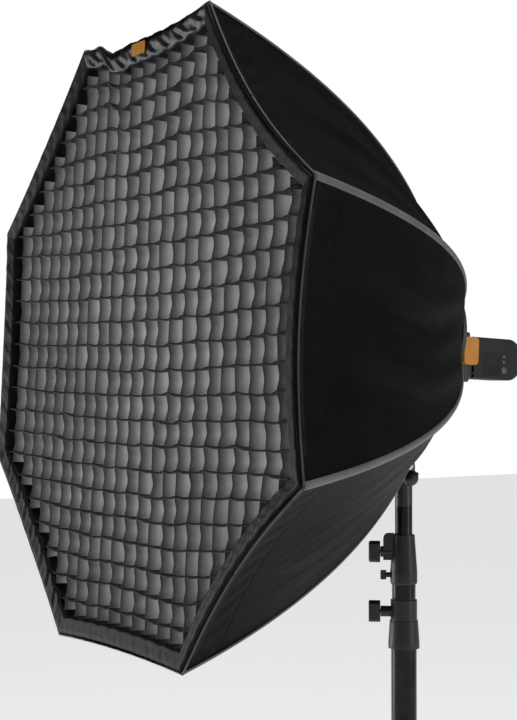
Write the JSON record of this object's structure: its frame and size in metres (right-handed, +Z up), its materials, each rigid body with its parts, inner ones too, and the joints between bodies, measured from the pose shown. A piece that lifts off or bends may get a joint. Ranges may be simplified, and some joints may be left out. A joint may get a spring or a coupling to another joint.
{
  "type": "studio softbox",
  "caption": "Octagonal folding softbox with fabric grid, battery flash in its hub and a telescopic light stand on folding legs.",
  "frame": {"origin": "on the floor under the column's axis, which is the centre of the footprint", "axes": "+Z up along the column, -Y towards the lit front of the box, +X to the right seen from the front"},
  "size_m": [1.005, 1.1457, 1.9606],
  "materials": {
    "black_fabric": "matt black woven nylon",
    "grid_fabric": "black satin louvre fabric",
    "diffuser_fabric": "white translucent fabric",
    "edge_tape": "black hook and loop tape",
    "amber_tab": "amber webbing",
    "spring_steel": "drawn spring steel",
    "black_metal": "black powder coat",
    "dark_tube": "black anodised, satin",
    "pin_steel": "turned",
    "black_plastic": "moulded, fine texture",
    "amber_plastic": "moulded",
    "display_glass": "dark display window",
    "window_glass": "frosted",
    "button_grey": "moulded"
  },
  "bodies": {
    "stand_base": {"base_tube": "dark_tube", "leg_hub": "black_plastic", "lower_clamp": "black_plastic"},
    "leg_collar": {"leg_slider": "black_plastic"},
    "slider_knob": {"slider_knob": "black_plastic"},
    "lower_knob": {"lower_knob": "black_plastic"},
    "upper_knob": {"upper_knob": "black_plastic"},
    "mid_section": {"mid_tube": "dark_tube", "upper_clamp": "black_plastic"},
    "top_section": {"top_tube": "dark_tube"},
    "receiver": {"receiver": "black_metal", "tilt_pin": "pin_steel"},
    "clamp_knob": {"clamp_knob": "black_plastic"},
    "tilt_lever": {"tilt_lever": "black_plastic"},
    "hub": {"hub_ring": "black_metal", "rod_pins": "pin_steel", "rear_plate": "black_metal", "flash_sleeve": "black_metal"},
    "sleeve_lever": {"sleeve_lever": "amber_plastic"},
    "front_panel": {"grid": "grid_fabric", "diffuser": "diffuser_fabric"},
    "flash": {"flash_body": "black_plastic", "flash_head": "black_plastic", "flash_window": "window_glass", "flash_display": "display_glass"},
    "battery_door": {"battery_door": "black_plastic"},
    "mode_dial": {"mode_dial": "button_grey"},
    "test_button": {"test_button": "button_grey"},
    "power_button": {"power_button": "button_grey"},
    "leg_1": {"leg_1": "dark_tube"},
    "brace_1": {"brace_1": "dark_tube"},
    "leg_2": {"leg_2": "dark_tube"},
    "brace_2": {"brace_2": "dark_tube"},
    "leg_3": {"leg_3": "dark_tube"},
    "brace_3": {"brace_3": "dark_tube"},
    "rod_1": {"rod_1": "spring_steel"},
    "rod_2": {"rod_2": "spring_steel"},
    "rod_3": {"rod_3": "spring_steel"},
    "rod_4": {"rod_4": "spring_steel"},
    "rod_5": {"rod_5": "spring_steel"},
    "rod_6": {"rod_6": "spring_steel"},
    "rod_7": {"rod_7": "spring_steel"},
    "rod_8": {"rod_8": "spring_steel"},
    "gore_1": {"gore_1": "black_fabric"},
    "front_1": {"front_edge_1": "edge_tape"},
    "gore_2": {"gore_2": "black_fabric"},
    "front_2": {"front_edge_2": "edge_tape"},
    "gore_3": {"gore_3": "black_fabric"},
    "front_3": {"front_edge_3": "edge_tape", "pull_tab": "amber_tab"},
    "gore_4": {"gore_4": "black_fabric"},
    "front_4": {"front_edge_4": "edge_tape"},
    "gore_5": {"gore_5": "black_fabric"},
    "front_5": {"front_edge_5": "edge_tape"},
    "gore_6": {"gore_6": "black_fabric"},
    "front_6": {"front_edge_6": "edge_tape"},
    "gore_7": {"gore_7": "black_fabric"},
    "front_7": {"front_edge_7": "edge_tape"},
    "gore_8": {"gore_8": "black_fabric"},
    "front_8": {"front_edge_8": "edge_tape"}
  },
  "joints": [
    {"name": "leg_fold", "type": "slide", "parent": "stand_base", "child": "leg_collar", "axis": [0, 0, 1], "range_m": [0, 0.178]},
    {"name": "leg_1_hinge", "type": "hinge", "parent": "leg_collar", "child": "leg_1", "pos_m": [0, 0.045, 0.56], "axis": [-1, 0, 0], "range_deg": [0, 38.92]},
    {"name": "brace_1_hinge", "type": "hinge", "parent": "stand_base", "child": "brace_1", "pos_m": [0, 0.045, 0.042], "axis": [-1, 0, 0], "range_deg": [-38.92, 0]},
    {"name": "leg_2_hinge", "type": "hinge", "parent": "leg_collar", "child": "leg_2", "pos_m": [-0.03897, -0.0225, 0.56], "axis": [0.5, -0.866, 0], "range_deg": [0, 38.92]},
    {"name": "brace_2_hinge", "type": "hinge", "parent": "stand_base", "child": "brace_2", "pos_m": [-0.03897, -0.0225, 0.042], "axis": [0.5, -0.866, 0], "range_deg": [-38.92, 0]},
    {"name": "leg_3_hinge", "type": "hinge", "parent": "leg_collar", "child": "leg_3", "pos_m": [0.03897, -0.0225, 0.56], "axis": [0.5, 0.866, 0], "range_deg": [0, 38.92]},
    {"name": "brace_3_hinge", "type": "hinge", "parent": "stand_base", "child": "brace_3", "pos_m": [0.03897, -0.0225, 0.042], "axis": [0.5, 0.866, 0], "range_deg": [-38.92, 0]},
    {"name": "slider_knob_turn", "type": "hinge", "parent": "leg_collar", "child": "slider_knob", "pos_m": [0, 0, 0.567], "axis": [0.866, 0.5, 0], "range_deg": [0, 360]},
    {"name": "lower_knob_turn", "type": "hinge", "parent": "stand_base", "child": "lower_knob", "pos_m": [0, 0, 0.9915], "axis": [-0.6293, -0.7771, 0], "range_deg": [0, 360]},
    {"name": "mid_slide", "type": "slide", "parent": "stand_base", "child": "mid_section", "axis": [0, 0, 1], "range_m": [-0.025, 0.55]},
    {"name": "upper_knob_turn", "type": "hinge", "parent": "mid_section", "child": "upper_knob", "pos_m": [0, 0, 1.097], "axis": [-0.6293, -0.7771, 0], "range_deg": [0, 360]},
    {"name": "top_slide", "type": "slide", "parent": "mid_section", "child": "top_section", "axis": [0, 0, 1], "range_m": [-0.045, 0.45]},
    {"name": "pan", "type": "hinge", "parent": "top_section", "child": "receiver", "pos_m": [0, 0, 1.2], "axis": [0, 0, 1], "continuous": true},
    {"name": "clamp_knob_turn", "type": "hinge", "parent": "receiver", "child": "clamp_knob", "pos_m": [0, 0, 1.2292], "axis": [0.9659, -0.2588, 0], "range_deg": [0, 360]},
    {"name": "tilt_lever_turn", "type": "hinge", "parent": "receiver", "child": "tilt_lever", "pos_m": [0, 0, 1.25], "axis": [1, 0, 0], "range_deg": [0, 90]},
    {"name": "tilt", "type": "hinge", "parent": "receiver", "child": "hub", "pos_m": [0, 0, 1.25], "axis": [1, 0, 0], "range_deg": [-40, 50]},
    {"name": "box_fold", "type": "hinge", "parent": "hub", "child": "rod_1", "pos_m": [0.09858, 0.03511, 1.52548], "axis": [0.2897, -0.0454, -0.9561], "range_deg": [0, 34.11], "deforming": ["gore_1", "gore_2", "gore_3", "gore_4", "gore_5", "gore_6", "gore_7", "gore_8", "front_edge_1", "front_edge_2", "front_edge_3", "front_edge_4", "front_edge_5", "front_edge_6", "front_edge_7", "front_edge_8", "grid", "diffuser", "pull_tab"]},
    {"name": "rod_2_hinge", "type": "hinge", "parent": "hub", "child": "rod_2", "pos_m": [0.04083, 0.03785, 1.58316], "axis": [0.9063, -0.0201, -0.4221], "range_deg": [0, 32.51]},
    {"name": "rod_3_hinge", "type": "hinge", "parent": "hub", "child": "rod_3", "pos_m": [-0.04083, 0.03785, 1.58316], "axis": [0.9063, 0.0201, 0.4221], "range_deg": [0, 32.51]},
    {"name": "rod_4_hinge", "type": "hinge", "parent": "hub", "child": "rod_4", "pos_m": [-0.09858, 0.03511, 1.52548], "axis": [0.2897, 0.0454, 0.9561], "range_deg": [0, 34.16]},
    {"name": "rod_5_hinge", "type": "hinge", "parent": "hub", "child": "rod_5", "pos_m": [-0.09858, 0.03124, 1.4439], "axis": [-0.4654, 0.042, 0.8841], "range_deg": [0, 36.23]},
    {"name": "rod_6_hinge", "type": "hinge", "parent": "hub", "child": "rod_6", "pos_m": [-0.04083, 0.0285, 1.38622], "axis": [-0.9371, 0.0166, 0.3488], "range_deg": [0, 37.55]},
    {"name": "rod_7_hinge", "type": "hinge", "parent": "hub", "child": "rod_7", "pos_m": [0.04083, 0.0285, 1.38622], "axis": [-0.9371, -0.0166, -0.3488], "range_deg": [0, 37.55]},
    {"name": "rod_8_hinge", "type": "hinge", "parent": "hub", "child": "rod_8", "pos_m": [0.09858, 0.03124, 1.4439], "axis": [-0.4654, -0.042, -0.8841], "range_deg": [0, 36.23]},
    {"name": "front_panel_slide", "type": "slide", "parent": "hub", "child": "front_panel", "axis": [0, -0.9989, 0.0475], "range_m": [0, 0.15]},
    {"name": "gore_1_hinge", "type": "hinge", "parent": "hub", "child": "gore_1", "pos_m": [0.1146, 0.03309, 1.48291], "axis": [0, -0.0475, -0.9989], "range_deg": [0, 35.2]},
    {"name": "front_1_fold", "type": "hinge", "parent": "front_panel", "child": "front_1", "pos_m": [0.21427, -0.36281, 1.45945], "axis": [0, -0.0475, -0.9989], "range_deg": [0, 80.65]},
    {"name": "gore_2_hinge", "type": "hinge", "parent": "hub", "child": "gore_2", "pos_m": [0.08103, 0.03694, 1.56385], "axis": [0.7071, -0.0336, -0.7063], "range_deg": [0, 33.34]},
    {"name": "front_2_fold", "type": "hinge", "parent": "front_panel", "child": "front_2", "pos_m": [0.16749, -0.36305, 1.62714], "axis": [0.7071, -0.0336, -0.7063], "range_deg": [0, 80.65]},
    {"name": "gore_3_hinge", "type": "hinge", "parent": "hub", "child": "gore_3", "pos_m": [0, 0.03853, 1.59738], "axis": [1, 0, 0], "range_deg": [0, 32.51]},
    {"name": "front_3_fold", "type": "hinge", "parent": "front_panel", "child": "front_3", "pos_m": [0, -0.36305, 1.70595], "axis": [1, 0, 0], "range_deg": [0, 80.65]},
    {"name": "gore_4_hinge", "type": "hinge", "parent": "hub", "child": "gore_4", "pos_m": [-0.08103, 0.03694, 1.56385], "axis": [0.7071, 0.0336, 0.7063], "range_deg": [0, 33.34]},
    {"name": "front_4_fold", "type": "hinge", "parent": "front_panel", "child": "front_4", "pos_m": [-0.16749, -0.36305, 1.62714], "axis": [0.7071, 0.0336, 0.7063], "range_deg": [0, 80.65]},
    {"name": "gore_5_hinge", "type": "hinge", "parent": "hub", "child": "gore_5", "pos_m": [-0.1146, 0.03309, 1.48291], "axis": [0, 0.0475, 0.9989], "range_deg": [0, 35.2]},
    {"name": "front_5_fold", "type": "hinge", "parent": "front_panel", "child": "front_5", "pos_m": [-0.21427, -0.36281, 1.45945], "axis": [0, 0.0475, 0.9989], "range_deg": [0, 80.65]},
    {"name": "gore_6_hinge", "type": "hinge", "parent": "hub", "child": "gore_6", "pos_m": [-0.08103, 0.02924, 1.40196], "axis": [-0.7071, 0.0336, 0.7063], "range_deg": [0, 36.89]},
    {"name": "front_6_fold", "type": "hinge", "parent": "front_panel", "child": "front_6", "pos_m": [-0.13546, -0.3621, 1.3238], "axis": [-0.7071, 0.0336, 0.7063], "range_deg": [0, 80.65]},
    {"name": "gore_7_hinge", "type": "hinge", "parent": "hub", "child": "gore_7", "pos_m": [0, 0.02765, 1.36844], "axis": [-1, 0, 0], "range_deg": [0, 37.55]},
    {"name": "front_7_fold", "type": "hinge", "parent": "front_panel", "child": "front_7", "pos_m": [0, -0.36164, 1.27705], "axis": [-1, 0, 0], "range_deg": [0, 80.65]},
    {"name": "gore_8_hinge", "type": "hinge", "parent": "hub", "child": "gore_8", "pos_m": [0.08103, 0.02924, 1.40196], "axis": [-0.7071, -0.0336, -0.7063], "range_deg": [0, 36.89]},
    {"name": "front_8_fold", "type": "hinge", "parent": "front_panel", "child": "front_8", "pos_m": [0.13546, -0.3621, 1.3238], "axis": [-0.7071, -0.0336, -0.7063], "range_deg": [0, 80.65]},
    {"name": "flash_slide", "type": "slide", "parent": "hub", "child": "flash", "axis": [0, 0.9989, -0.0475], "range_m": [0, 0.12]},
    {"name": "sleeve_lever_turn", "type": "hinge", "parent": "hub", "child": "sleeve_lever", "pos_m": [0.038, 0.11228, 1.44289], "axis": [1, 0, 0], "range_deg": [0, 70]},
    {"name": "battery_door_hinge", "type": "hinge", "parent": "flash", "child": "battery_door", "pos_m": [-0.029, 0.20578, 1.43845], "axis": [0, 0.0475, 0.9989], "range_deg": [-100, 0]},
    {"name": "mode_dial_turn", "type": "hinge", "parent": "flash", "child": "mode_dial", "pos_m": [0.03, 0.21022, 1.41821], "axis": [1, 0, 0], "continuous": true},
    {"name": "test_button_press", "type": "slide", "parent": "flash", "child": "test_button", "axis": [-1, 0, 0], "range_m": [0, 0.0008], "stiffness_N_per_m": 500, "springref_m": -0.0008},
    {"name": "power_button_press", "type": "slide", "parent": "flash", "child": "power_button", "axis": [-1, 0, 0], "range_m": [0, 0.0008], "stiffness_N_per_m": 500, "springref_m": -0.0008}
  ],
  "couplings": [
    {"joint": "leg_1_hinge", "follows": "leg_fold", "rad_per_m": 3.8116},
    {"joint": "brace_1_hinge", "follows": "leg_fold", "rad_per_m": -3.8116},
    {"joint": "leg_2_hinge", "follows": "leg_fold", "rad_per_m": 3.8116},
    {"joint": "brace_2_hinge", "follows": "leg_fold", "rad_per_m": -3.8116},
    {"joint": "leg_3_hinge", "follows": "leg_fold", "rad_per_m": 3.8116},
    {"joint": "brace_3_hinge", "follows": "leg_fold", "rad_per_m": -3.8116},
    {"joint": "rod_2_hinge", "follows": "box_fold", "ratio": 0.95162},
    {"joint": "rod_3_hinge", "follows": "box_fold", "ratio": 0.95162},
    {"joint": "rod_4_hinge", "follows": "box_fold", "ratio": 1},
    {"joint": "rod_5_hinge", "follows": "box_fold", "ratio": 1.0608},
    {"joint": "rod_6_hinge", "follows": "box_fold", "ratio": 1.0993},
    {"joint": "rod_7_hinge", "follows": "box_fold", "ratio": 1.0993},
    {"joint": "rod_8_hinge", "follows": "box_fold", "ratio": 1.0608},
    {"joint": "gore_1_hinge", "follows": "box_fold", "ratio": 1.0304},
    {"joint": "front_1_fold", "follows": "box_fold", "ratio": 2.3629},
    {"joint": "gore_2_hinge", "follows": "box_fold", "ratio": 0.97581},
    {"joint": "front_2_fold", "follows": "box_fold", "ratio": 2.3629},
    {"joint": "gore_3_hinge", "follows": "box_fold", "ratio": 0.95162},
    {"joint": "front_3_fold", "follows": "box_fold", "ratio": 2.3629},
    {"joint": "gore_4_hinge", "follows": "box_fold", "ratio": 0.97581},
    {"joint": "front_4_fold", "follows": "box_fold", "ratio": 2.3629},
    {"joint": "gore_5_hinge", "follows": "box_fold", "ratio": 1.0304},
    {"joint": "front_5_fold", "follows": "box_fold", "ratio": 2.3629},
    {"joint": "gore_6_hinge", "follows": "box_fold", "ratio": 1.08},
    {"joint": "front_6_fold", "follows": "box_fold", "ratio": 2.3629},
    {"joint": "gore_7_hinge", "follows": "box_fold", "ratio": 1.0993},
    {"joint": "front_7_fold", "follows": "box_fold", "ratio": 2.3629},
    {"joint": "gore_8_hinge", "follows": "box_fold", "ratio": 1.08},
    {"joint": "front_8_fold", "follows": "box_fold", "ratio": 2.3629}
  ]
}
